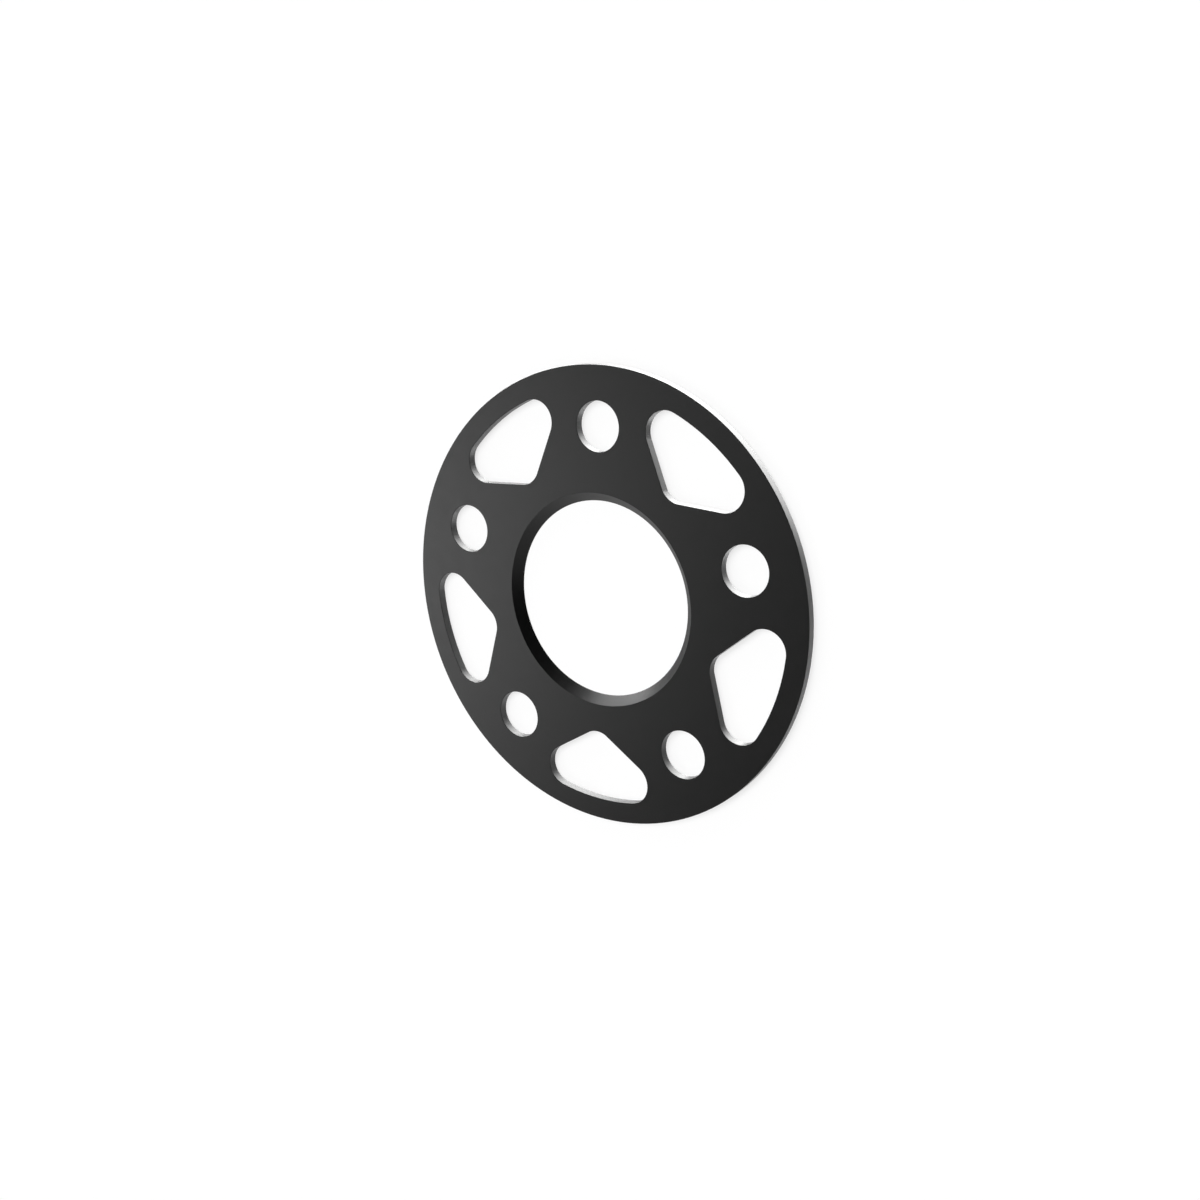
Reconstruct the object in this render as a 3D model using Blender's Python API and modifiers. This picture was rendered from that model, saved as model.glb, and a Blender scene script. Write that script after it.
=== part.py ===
"""Flat wheel spacer for a five-stud hub, machined from one aluminium plate.

The plate is a round disc with a chamfered centre bore, a ring of stud holes and
a lightening window between each two of them. It lies on its plain back face.
The origin is the centre of that face, +Z is the disc's axis and points out of
the chamfered front face, and one stud hole is on -Y. Lengths are in metres.
"""

import math

import bmesh
import bpy
from mathutils import Matrix, Vector

# Plate and stud holes
PLATE_THICKNESS = 0.003
STUD_COUNT = 5
BOLT_CIRCLE = 0.112
STUD_HOLE_DIAMETER = 0.016
STUD_TO_RIM = 0.011

# Centre bore: the chamfer runs down from the front face to a narrow land
BORE_DIAMETER = 0.0643
BORE_LAND = 0.0001
CHAMFER_ANGLE = math.radians(45)

# Lightening windows: the walls that they leave, and the radius of their corners
WINDOW_TO_RIM = 0.007
WINDOW_TO_STUD = 0.008
WINDOW_TO_CHAMFER = 0.00945
WINDOW_FILLET = 0.007

# Every outer edge and hole edge is broken by this much, at 45 degrees
EDGE_BREAK = 0.0001

# How far a flat facet may lie inside the true arc, and a cutter runs past a face
ARC_TOLERANCE = 0.000015
CUTTER_OVERRUN = 0.002

# An edge sharper than this is one that gets broken, or shaded as an edge
BROKEN_EDGE_ANGLE = math.radians(60)
SHARP_EDGE_ANGLE = math.radians(30)

BLACK_ANODISED = {"Base Color": (0.022, 0.022, 0.023, 1.0), "Metallic": 0.0, "Roughness": 0.42}

STUD_RADIUS = STUD_HOLE_DIAMETER / 2
STUD_PITCH = 2 * math.pi / STUD_COUNT
FIRST_STUD_ANGLE = -math.pi / 2
DISC_RADIUS = BOLT_CIRCLE / 2 + STUD_RADIUS + STUD_TO_RIM
BORE_RADIUS = BORE_DIAMETER / 2
CHAMFER_RADIUS = BORE_RADIUS + (PLATE_THICKNESS - BORE_LAND) * math.tan(CHAMFER_ANGLE)
WINDOW_OUTER_RADIUS = DISC_RADIUS - WINDOW_TO_RIM
WINDOW_INNER_RADIUS = CHAMFER_RADIUS + WINDOW_TO_CHAMFER


def facet_angle(radius):
    """The widest angle that one facet of an arc may span."""
    return 2 * math.acos(1 - ARC_TOLERANCE / radius)


def circle_facets(radius):
    """Facets of a full circle: a multiple of four, so that it is as wide as it is deep."""
    return 4 * math.ceil(math.pi / 2 / facet_angle(radius))


def on_circle(radius, angle):
    return radius * Vector((math.cos(angle), math.sin(angle)))


def angle_of(vector):
    return math.atan2(vector.y, vector.x)


def arc(centre, radius, start, end):
    """Points of an arc from start up to, but without, end."""
    facets = max(1, math.ceil(abs(end - start) / facet_angle(radius)))
    return [centre + on_circle(radius, start + (end - start) * i / facets) for i in range(facets)]


def window_outline():
    """A window about +X: a rim arc, two straight sides and three fillets.

    Each side is the line that touches the inner fillet and keeps its wall to the
    stud hole beside it. Half of the outline is worked out and then mirrored.
    """
    fillet = min(WINDOW_FILLET, 0.4 * (WINDOW_OUTER_RADIUS - WINDOW_INNER_RADIUS))
    inner_centre = Vector((WINDOW_INNER_RADIUS + fillet, 0))
    stud_centre = on_circle(BOLT_CIRCLE / 2, STUD_PITCH / 2)
    to_stud = stud_centre - inner_centre
    lean = math.asin((STUD_RADIUS + WINDOW_TO_STUD + fillet) / to_stud.length)
    side = on_circle(1, angle_of(to_stud) - lean)
    side_normal = Vector((-side.y, side.x))

    along = -side.dot(inner_centre)
    reach = (WINDOW_OUTER_RADIUS - fillet) ** 2 - inner_centre.length_squared
    corner_centre = inner_centre + side * (along + math.sqrt(along * along + reach))

    rim_angle = angle_of(corner_centre)
    half = arc(inner_centre, fillet, math.pi, angle_of(side_normal))
    half += arc(corner_centre, fillet, angle_of(side_normal), rim_angle)
    half += arc(Vector((0, 0)), WINDOW_OUTER_RADIUS, rim_angle, 0)
    half.append(Vector((WINDOW_OUTER_RADIUS, 0)))
    mirrored = [Vector((point.x, -point.y)) for point in half[-2:0:-1]]
    return half + mirrored


def new_collection(name):
    collection = bpy.data.collections.new(name)
    bpy.context.scene.collection.children.link(collection)
    return collection


def add_object(name, mesh, collection):
    obj = bpy.data.objects.new(name, mesh)
    collection.objects.link(obj)
    return obj


def add_cutter(name, mesh, collection):
    cutter = add_object(name, mesh, collection)
    cutter.display_type = "WIRE"
    cutter.hide_render = True
    return cutter


def evaluated_mesh(obj):
    bpy.context.view_layer.update()
    depsgraph = bpy.context.evaluated_depsgraph_get()
    return bpy.data.meshes.new_from_object(obj.evaluated_get(depsgraph))


def cylinder_mesh(name, radius, bottom, top):
    mesh = bpy.data.meshes.new(name)
    shape = bmesh.new()
    bmesh.ops.create_cone(
        shape,
        cap_ends=True,
        segments=circle_facets(radius),
        radius1=radius,
        radius2=radius,
        depth=top - bottom,
        matrix=Matrix.Translation((0, 0, (bottom + top) / 2)),
    )
    shape.to_mesh(mesh)
    shape.free()
    return mesh


def window_mesh():
    """The window's outline as a 2D curve, as thick as the plate and its overruns."""
    curve = bpy.data.curves.new("window_outline", "CURVE")
    curve.dimensions = "2D"
    curve.fill_mode = "BOTH"
    curve.extrude = PLATE_THICKNESS / 2 + CUTTER_OVERRUN
    points = window_outline()
    spline = curve.splines.new("POLY")
    spline.points.add(len(points) - 1)
    for spline_point, point in zip(spline.points, points):
        spline_point.co = (point.x, point.y, 0, 1)
    spline.use_cyclic_u = True

    guide = add_object("window_outline", curve, bpy.context.scene.collection)
    guide.location.z = PLATE_THICKNESS / 2
    mesh = evaluated_mesh(guide)
    mesh.name = "window_cutter"
    mesh.transform(guide.matrix_world)
    bpy.data.objects.remove(guide)

    shape = bmesh.new()
    shape.from_mesh(mesh)
    bmesh.ops.remove_doubles(shape, verts=shape.verts, dist=ARC_TOLERANCE)
    bmesh.ops.recalc_face_normals(shape, faces=shape.faces)
    shape.to_mesh(mesh)
    shape.free()
    return mesh


def bore_cutter(collection):
    """A turned plug: the chamfer's cone above the land's cylinder."""
    top = PLATE_THICKNESS + CUTTER_OVERRUN
    cone_radius = CHAMFER_RADIUS + CUTTER_OVERRUN * math.tan(CHAMFER_ANGLE)
    profile = [
        (0, top),
        (cone_radius, top),
        (BORE_RADIUS, BORE_LAND),
        (BORE_RADIUS, -CUTTER_OVERRUN),
        (0, -CUTTER_OVERRUN),
    ]
    mesh = bpy.data.meshes.new("bore_cutter")
    points = [(radius, 0, height) for radius, height in profile]
    mesh.from_pydata(points, [(i, i + 1) for i in range(len(points) - 1)], [])
    cutter = add_cutter("bore_cutter", mesh, collection)
    screw = cutter.modifiers.new("turn", "SCREW")
    screw.axis = "Z"
    screw.steps = circle_facets(CHAMFER_RADIUS)
    screw.render_steps = screw.steps
    screw.use_merge_vertices = True
    screw.merge_threshold = ARC_TOLERANCE
    return cutter


def stud_and_window_cutters(collection):
    """One cutter for each stud hole, and one for each window midway between two."""
    stud_mesh = cylinder_mesh("stud_cutter", STUD_RADIUS, -CUTTER_OVERRUN, PLATE_THICKNESS + CUTTER_OVERRUN)
    stud_mesh.transform(Matrix.Translation((BOLT_CIRCLE / 2, 0, 0)))
    opening_mesh = window_mesh()
    for i in range(STUD_COUNT):
        stud_angle = FIRST_STUD_ANGLE + i * STUD_PITCH
        stud = add_cutter(f"stud_cutter_{i + 1}", stud_mesh, collection)
        stud.rotation_euler.z = stud_angle
        window = add_cutter(f"window_cutter_{i + 1}", opening_mesh, collection)
        window.rotation_euler.z = stud_angle + STUD_PITCH / 2


def black_anodised():
    material = bpy.data.materials.new("black_anodised_aluminium")
    material.use_nodes = True
    shader = material.node_tree.nodes["Principled BSDF"]
    for socket, value in BLACK_ANODISED.items():
        shader.inputs[socket].default_value = value
    return material


def spacer_plate(parts, cutters):
    """The disc, its stud holes and windows, then the broken edges, then the bore."""
    ring = bpy.data.collections.new("stud_and_window_cutters")
    cutters.children.link(ring)
    stud_and_window_cutters(ring)

    plate = add_object("spacer_plate", cylinder_mesh("blank", DISC_RADIUS, 0, PLATE_THICKNESS), parts)
    holes = plate.modifiers.new("stud_holes_and_windows", "BOOLEAN")
    holes.operand_type = "COLLECTION"
    holes.collection = ring

    edges = plate.modifiers.new("broken_edges", "BEVEL")
    edges.width = EDGE_BREAK
    edges.segments = 1
    edges.angle_limit = BROKEN_EDGE_ANGLE

    bore = plate.modifiers.new("bore", "BOOLEAN")
    bore.object = bore_cutter(cutters)

    mesh = evaluated_mesh(plate)
    mesh.name = "spacer_plate"
    mesh.shade_smooth()
    mesh.set_sharp_from_angle(angle=SHARP_EDGE_ANGLE)
    mesh.materials.append(black_anodised())
    plate.modifiers.clear()
    plate.data = mesh


def main():
    for obj in list(bpy.data.objects):
        bpy.data.objects.remove(obj)
    spacer_plate(new_collection("wheel_spacer"), new_collection("cutters"))


main()
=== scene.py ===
"""Looks for the wheel spacer: satin black anodised aluminium in a white studio.

The disc lies flat on its plain back face, as it rests. The photograph shows it on its
rim with one stud hole uppermost, so the camera looks down on it at the same angle to its
face, turned until that stud hole is uppermost in the picture. The studio is turned the
same way: each soft box stands where the photograph has it as seen from the disc.
Lengths are in metres, and light is in multiples of white.
"""

import math

import bmesh
import bpy
from mathutils import Matrix, Vector


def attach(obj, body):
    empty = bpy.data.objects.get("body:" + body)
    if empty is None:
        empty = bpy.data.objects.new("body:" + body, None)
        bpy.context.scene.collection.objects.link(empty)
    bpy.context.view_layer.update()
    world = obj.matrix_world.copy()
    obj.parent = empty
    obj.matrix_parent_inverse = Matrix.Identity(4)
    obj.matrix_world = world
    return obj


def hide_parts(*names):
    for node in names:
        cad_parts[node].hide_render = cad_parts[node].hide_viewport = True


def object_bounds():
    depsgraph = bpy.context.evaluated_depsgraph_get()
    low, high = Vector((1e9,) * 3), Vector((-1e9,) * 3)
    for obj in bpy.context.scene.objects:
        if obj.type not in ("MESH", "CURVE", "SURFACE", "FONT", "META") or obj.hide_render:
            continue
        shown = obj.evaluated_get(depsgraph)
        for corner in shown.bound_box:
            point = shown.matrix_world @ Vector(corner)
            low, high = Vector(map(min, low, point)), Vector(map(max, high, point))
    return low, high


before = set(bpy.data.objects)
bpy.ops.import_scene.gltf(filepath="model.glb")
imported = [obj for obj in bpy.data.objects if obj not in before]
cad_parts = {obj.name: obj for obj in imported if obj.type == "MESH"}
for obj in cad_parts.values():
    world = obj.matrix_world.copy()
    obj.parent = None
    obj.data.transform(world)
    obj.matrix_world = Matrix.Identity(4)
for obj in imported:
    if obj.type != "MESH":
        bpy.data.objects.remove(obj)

# The photograph's view of the disc standing on its rim: which stud hole is uppermost, and
# how far the camera stands round from the disc's axis and above it
TOP_STUD_ANGLE = math.radians(-18)
CAMERA_ROUND = math.radians(35)
CAMERA_ABOVE = math.radians(15)
CAMERA_DISTANCE = 0.4288
CAMERA_LENS = 40
SENSOR_WIDTH = 36

# The plate's mesh: points this close are one, faces this level are one, and each sharp
# edge is rounded by this much. The larger a face, the more the shading follows it.
WELD_DISTANCE = 0.000001
LEVEL_ANGLE = math.radians(0.5)
SHARP_ANGLE = math.radians(30)
EDGE_ROUNDING = 0.00003
ROUNDING_SEGMENTS = 2
LARGE_FACE_WEIGHT = 100

# The finish: an oxide layer dyed black. Its colour varies with the grain and its roughness
# with the mottle, each from its lowest to its highest over the middle of the noise's values.
BLACK = (0.0004, 0.0046)
OXIDE_IOR = 1.62
ROUGHNESS = (0.34, 0.37)
NOISE_MIDDLE = (0.3, 0.7)

# Its textures: the size of their marks, how many finer layers they have, and how much those
# count. The grain and the turning marks are this high.
GRAIN = {"size": 0.0003, "detail": 3.0, "roughness": 0.6}
MOTTLE = {"size": 0.004, "detail": 4.0, "roughness": 0.6}
TURNING = {"size": 0.00016, "detail": 2.0, "roughness": 0.5}
GRAIN_HEIGHT = 0.000005
TURNING_HEIGHT = 0.000002

# A surface is a wall or the chamfer where its normal rises by less than this
WALL_RISE = 0.9

# The floor, just under the disc, and how much of its white is its own
FLOOR_SIZE = 40
FLOOR_GAP = 0.00002
FLOOR_WHITE = 0.95
FLOOR_GLOW = 0.7

# What the disc mirrors: walls with a paler stretch along the horizon, soft boxes, and dark
# places that let no light through. Each box or dark place: azimuth and elevation of its
# middle as seen from the disc, the half-angles out to which it is even and at which it
# ends, and for a box its brightness. Those below the disc's own level stand behind it in
# the photograph.
STUDIO_WALLS = 0.28
HORIZON_GLOW = 0.4
HORIZON_END = 24
SOFT_BOXES = {
    "left": (92, 40.5, 8, 14, 3.1),
    "side": (19, 12.5, 4, 14, 4.6),
    "low": (33.5, -20.2, 19, 20, 19.2),
    "rear": (-6, -67, 18, 34, 8.9),
    "rear_low": (123, -77.5, 8, 20.5, 10.9),
    "rear_wall": (167, -50, 8, 77, 0.46),
}
DARK_PLACES = {
    "camera_side": (-74, 31, 35, 65),
    "far_corner": (115, 57.5, 13, 20),
}

# A card of light that stands upright below the floor, so close to the disc that the walls on
# one side mirror more of it than the rest: its size, the azimuth and distance of its plane
# from the disc's axis, how far along that plane and how deep its middle is, and its brightness
CARD_WIDTH = 0.168
CARD_HEIGHT = 0.092
CARD_AZIMUTH = 208
CARD_DISTANCE = 0.079
CARD_ALONG = -0.068
CARD_DEPTH = 0.192
CARD_GLOW = 2.0

# The broad lamp overhead that lights the floor and casts the disc's shadow, and isn't
# mirrored: where it stands, how wide it looks from the disc, and its power
LAMP_AZIMUTH = 15
LAMP_ELEVATION = 72
LAMP_WIDTH = math.radians(50)
LAMP_STRENGTH = 2.65

WHITE = (1, 1, 1, 1)


def direction(azimuth, elevation):
    """Unit vector at an azimuth from +X towards +Y and an elevation, both in degrees."""
    level = math.cos(math.radians(elevation))
    return Vector(
        (
            level * math.cos(math.radians(azimuth)),
            level * math.sin(math.radians(azimuth)),
            math.sin(math.radians(elevation)),
        )
    )


def add_node(tree, kind, settings=None, inputs=None):
    """A shader node with its properties, and its inputs as values or as sockets to link."""
    node = tree.nodes.new(kind)
    for name, value in (settings or {}).items():
        setattr(node, name, value)
    for key, value in (inputs or {}).items():
        if isinstance(value, bpy.types.NodeSocket):
            tree.links.new(value, node.inputs[key])
        else:
            node.inputs[key].default_value = value
    return node


def math_node(tree, operation, *values):
    settings = {"operation": operation}
    return add_node(tree, "ShaderNodeMath", settings, dict(enumerate(values))).outputs[0]


def node_tree(owner):
    owner.use_nodes = True
    owner.node_tree.nodes.clear()
    return owner.node_tree


def plate_surface(node):
    """The plate as one closed skin with its level faces whole and its edges rounded."""
    shape = bmesh.new()
    shape.from_mesh(node.data)
    bmesh.ops.remove_doubles(shape, verts=shape.verts, dist=WELD_DISTANCE)
    bmesh.ops.dissolve_limit(
        shape,
        angle_limit=LEVEL_ANGLE,
        verts=shape.verts,
        edges=shape.edges,
    )
    mesh = bpy.data.meshes.new("plate_surface")
    shape.to_mesh(mesh)
    shape.free()
    mesh.shade_smooth()

    piece = bpy.data.objects.new("plate_surface", mesh)
    bpy.context.scene.collection.objects.link(piece)
    rounding = piece.modifiers.new("rounding", "BEVEL")
    rounding.width = EDGE_ROUNDING
    rounding.segments = ROUNDING_SEGMENTS
    rounding.limit_method = "ANGLE"
    rounding.angle_limit = SHARP_ANGLE
    normals = piece.modifiers.new("normals", "WEIGHTED_NORMAL")
    normals.weight = LARGE_FACE_WEIGHT
    return piece


def noise(tree, place, size, detail, roughness):
    inputs = {"Vector": place, "Scale": 1 / size, "Detail": detail, "Roughness": roughness}
    return add_node(tree, "ShaderNodeTexNoise", inputs=inputs).outputs["Fac"]


def spread(tree, value, lowest, highest):
    """The middle of a noise's values stretched between two values."""
    inputs = {
        "Value": value,
        "From Min": NOISE_MIDDLE[0],
        "From Max": NOISE_MIDDLE[1],
        "To Min": lowest,
        "To Max": highest,
    }
    return add_node(tree, "ShaderNodeMapRange", inputs=inputs).outputs["Result"]


def distance_and_height(tree, place):
    """A point's distance from the disc's axis and its height: both stay along a turning mark."""
    parts = add_node(tree, "ShaderNodeSeparateXYZ", inputs={"Vector": place})
    across = math_node(tree, "POWER", parts.outputs["X"], 2.0)
    along = math_node(tree, "POWER", parts.outputs["Y"], 2.0)
    distance = math_node(tree, "SQRT", math_node(tree, "ADD", across, along))
    inputs = {"X": distance, "Y": parts.outputs["Z"]}
    return add_node(tree, "ShaderNodeCombineXYZ", inputs=inputs).outputs["Vector"]


def on_walls(tree):
    """One on the walls and the chamfer, and nothing on the two faces."""
    normal = add_node(tree, "ShaderNodeNewGeometry").outputs["True Normal"]
    rise = add_node(tree, "ShaderNodeSeparateXYZ", inputs={"Vector": normal}).outputs["Z"]
    return math_node(tree, "LESS_THAN", math_node(tree, "ABSOLUTE", rise), WALL_RISE)


def black_anodised():
    """Black dyed oxide: dark under a clear, satin surface, with turning marks on its walls."""
    material = bpy.data.materials.new("black_anodised_satin")
    tree = node_tree(material)
    place = add_node(tree, "ShaderNodeTexCoord").outputs["Object"]

    mottle = noise(tree, place, **MOTTLE)
    grain = noise(tree, place, **GRAIN)
    grain_bump = add_node(
        tree,
        "ShaderNodeBump",
        inputs={"Height": grain, "Distance": GRAIN_HEIGHT, "Strength": 1.0},
    )
    turning_bump = add_node(
        tree,
        "ShaderNodeBump",
        inputs={
            "Height": noise(tree, distance_and_height(tree, place), **TURNING),
            "Distance": TURNING_HEIGHT,
            "Strength": on_walls(tree),
            "Normal": grain_bump.outputs["Normal"],
        },
    )
    shader = add_node(
        tree,
        "ShaderNodeBsdfPrincipled",
        inputs={
            "Base Color": spread(tree, grain, *BLACK),
            "IOR": OXIDE_IOR,
            "Roughness": spread(tree, mottle, *ROUGHNESS),
            "Normal": turning_bump.outputs["Normal"],
        },
    )
    add_node(tree, "ShaderNodeOutputMaterial", inputs={"Surface": shader.outputs["BSDF"]})
    return material


def floor_white():
    """White that keeps shadows. Glossy rays pass, so the walls reflect what is behind the disc."""
    material = bpy.data.materials.new("floor_white")
    tree = node_tree(material)
    path = add_node(tree, "ShaderNodeLightPath")
    paint = (FLOOR_WHITE, FLOOR_WHITE, FLOOR_WHITE, 1)
    matt = add_node(tree, "ShaderNodeBsdfDiffuse", inputs={"Color": paint})
    glow = add_node(tree, "ShaderNodeEmission", inputs={"Color": WHITE, "Strength": 1.0})
    share = math_node(tree, "MULTIPLY", path.outputs["Is Camera Ray"], FLOOR_GLOW)
    lit = add_node(
        tree,
        "ShaderNodeMixShader",
        inputs={0: share, 1: matt.outputs["BSDF"], 2: glow.outputs["Emission"]},
    )
    clear = add_node(tree, "ShaderNodeBsdfTransparent")
    surface = add_node(
        tree,
        "ShaderNodeMixShader",
        inputs={
            0: path.outputs["Is Glossy Ray"],
            1: lit.outputs["Shader"],
            2: clear.outputs["BSDF"],
        },
    )
    add_node(tree, "ShaderNodeOutputMaterial", inputs={"Surface": surface.outputs["Shader"]})
    return material


def card_glow():
    """Light of the card's own, added to what is mirrored from behind it."""
    material = bpy.data.materials.new("card_glow")
    # The floor stops rays that are sent to a light below it, so none are sent
    material.cycles.emission_sampling = "NONE"
    tree = node_tree(material)
    glow = add_node(tree, "ShaderNodeEmission", inputs={"Color": WHITE, "Strength": CARD_GLOW})
    clear = add_node(tree, "ShaderNodeBsdfTransparent")
    added = add_node(
        tree,
        "ShaderNodeAddShader",
        inputs={0: glow.outputs["Emission"], 1: clear.outputs["BSDF"]},
    )
    add_node(tree, "ShaderNodeOutputMaterial", inputs={"Surface": added.outputs["Shader"]})
    return material


def add_sheet(name, width, height, material):
    """A flat sheet of the studio, with its middle at the origin."""
    x = width / 2
    y = height / 2
    mesh = bpy.data.meshes.new(name)
    mesh.from_pydata([(-x, -y, 0), (x, -y, 0), (x, y, 0), (-x, y, 0)], [], [(0, 1, 2, 3)])
    mesh.materials.append(material)
    sheet = bpy.data.objects.new(name, mesh)
    bpy.context.scene.collection.objects.link(sheet)
    return sheet


def add_floor():
    floor = add_sheet("floor", FLOOR_SIZE, FLOOR_SIZE, floor_white())
    floor.location.z = -FLOOR_GAP


def add_card():
    """The card of light, which is mirrored and does nothing else."""
    card = add_sheet("card", CARD_WIDTH, CARD_HEIGHT, card_glow())
    outward = direction(CARD_AZIMUTH, 0)
    along = direction(CARD_AZIMUTH + 90, 0)
    card.location = CARD_DISTANCE * outward + CARD_ALONG * along - Vector((0, 0, CARD_DEPTH))
    card.rotation_euler = (math.radians(90), 0, math.radians(CARD_AZIMUTH + 90))
    card.visible_camera = False
    card.visible_diffuse = False
    card.visible_shadow = False


def cone(tree, towards, azimuth, elevation, even, end, strength=1.0):
    """Strength inside a cone of directions, fading to nothing between its two half-angles."""
    middle = direction(azimuth, elevation)
    facing = add_node(
        tree,
        "ShaderNodeVectorMath",
        {"operation": "DOT_PRODUCT"},
        {0: towards, 1: middle},
    )
    fade = add_node(
        tree,
        "ShaderNodeMapRange",
        {"interpolation_type": "SMOOTHSTEP"},
        {
            "Value": facing.outputs["Value"],
            "From Min": math.cos(math.radians(end)),
            "From Max": math.cos(math.radians(even)),
            "To Min": 0.0,
            "To Max": strength,
        },
    )
    return fade.outputs["Result"]


def horizon(tree, towards):
    """The glow along the horizon, above and below it."""
    height = add_node(tree, "ShaderNodeSeparateXYZ", inputs={"Vector": towards}).outputs["Z"]
    fade = add_node(
        tree,
        "ShaderNodeMapRange",
        {"interpolation_type": "SMOOTHSTEP"},
        {
            "Value": math_node(tree, "ABSOLUTE", height),
            "From Min": 0.0,
            "From Max": math.sin(math.radians(HORIZON_END)),
            "To Min": HORIZON_GLOW,
            "To Max": 0.0,
        },
    )
    return fade.outputs["Result"]


def studio():
    """White behind the disc, and for its light and reflections a pale room with soft boxes."""
    world = bpy.data.worlds.new("studio")
    # As with the card, rays find this light by themselves, also below the floor
    world.cycles.sampling_method = "NONE"
    bpy.context.scene.world = world
    tree = node_tree(world)
    towards = add_node(tree, "ShaderNodeTexCoord").outputs["Generated"]

    # The horizon's glow comes after the dark places, which leave it as it is
    light = STUDIO_WALLS
    for box in SOFT_BOXES.values():
        light = math_node(tree, "ADD", light, cone(tree, towards, *box))
    for place in DARK_PLACES.values():
        shade = math_node(tree, "SUBTRACT", 1.0, cone(tree, towards, *place))
        light = math_node(tree, "MULTIPLY", light, shade)
    light = math_node(tree, "ADD", light, horizon(tree, towards))

    room = add_node(tree, "ShaderNodeBackground", inputs={"Color": WHITE, "Strength": light})
    white = add_node(tree, "ShaderNodeBackground", inputs={"Color": WHITE, "Strength": 1.0})
    seen = add_node(tree, "ShaderNodeLightPath").outputs["Is Camera Ray"]
    mixed = add_node(
        tree,
        "ShaderNodeMixShader",
        inputs={0: seen, 1: room.outputs["Background"], 2: white.outputs["Background"]},
    )
    add_node(tree, "ShaderNodeOutputWorld", inputs={"Surface": mixed.outputs["Shader"]})


def add_lamp():
    lamp = bpy.data.lights.new("lamp", "SUN")
    lamp.angle = LAMP_WIDTH
    lamp.energy = LAMP_STRENGTH
    towards = direction(LAMP_AZIMUTH, LAMP_ELEVATION)
    holder = bpy.data.objects.new("lamp", lamp)
    holder.rotation_euler = towards.to_track_quat("Z", "Y").to_euler()
    holder.visible_glossy = False
    bpy.context.scene.collection.objects.link(holder)


def add_camera(box):
    """The photograph's camera, placed by the disc's axis and its uppermost stud hole."""
    axis = Vector((0, 0, 1))
    top = Vector((math.cos(TOP_STUD_ANGLE), math.sin(TOP_STUD_ANGLE), 0))
    side = top.cross(axis)
    level = math.cos(CAMERA_ROUND) * axis + math.sin(CAMERA_ROUND) * side
    back = math.cos(CAMERA_ABOVE) * level + math.sin(CAMERA_ABOVE) * top
    right = top.cross(back).normalized()
    up = back.cross(right)

    lens = bpy.data.cameras.new("camera")
    lens.lens = CAMERA_LENS
    lens.sensor_width = SENSOR_WIDTH
    camera = bpy.data.objects.new("camera", lens)
    turn = Matrix((right, up, back)).transposed()
    place = (box[0] + box[1]) / 2 + CAMERA_DISTANCE * back
    camera.matrix_world = Matrix.Translation(place) @ turn.to_4x4()
    bpy.context.scene.collection.objects.link(camera)
    bpy.context.scene.camera = camera


def main():
    cad_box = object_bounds()
    bpy.context.scene.view_settings.view_transform = "Standard"

    plate = plate_surface(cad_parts["spacer_plate"])
    plate.data.materials.append(black_anodised())
    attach(plate, "root")
    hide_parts("spacer_plate")

    add_floor()
    add_card()
    studio()
    add_lamp()
    add_camera(cad_box)


main()
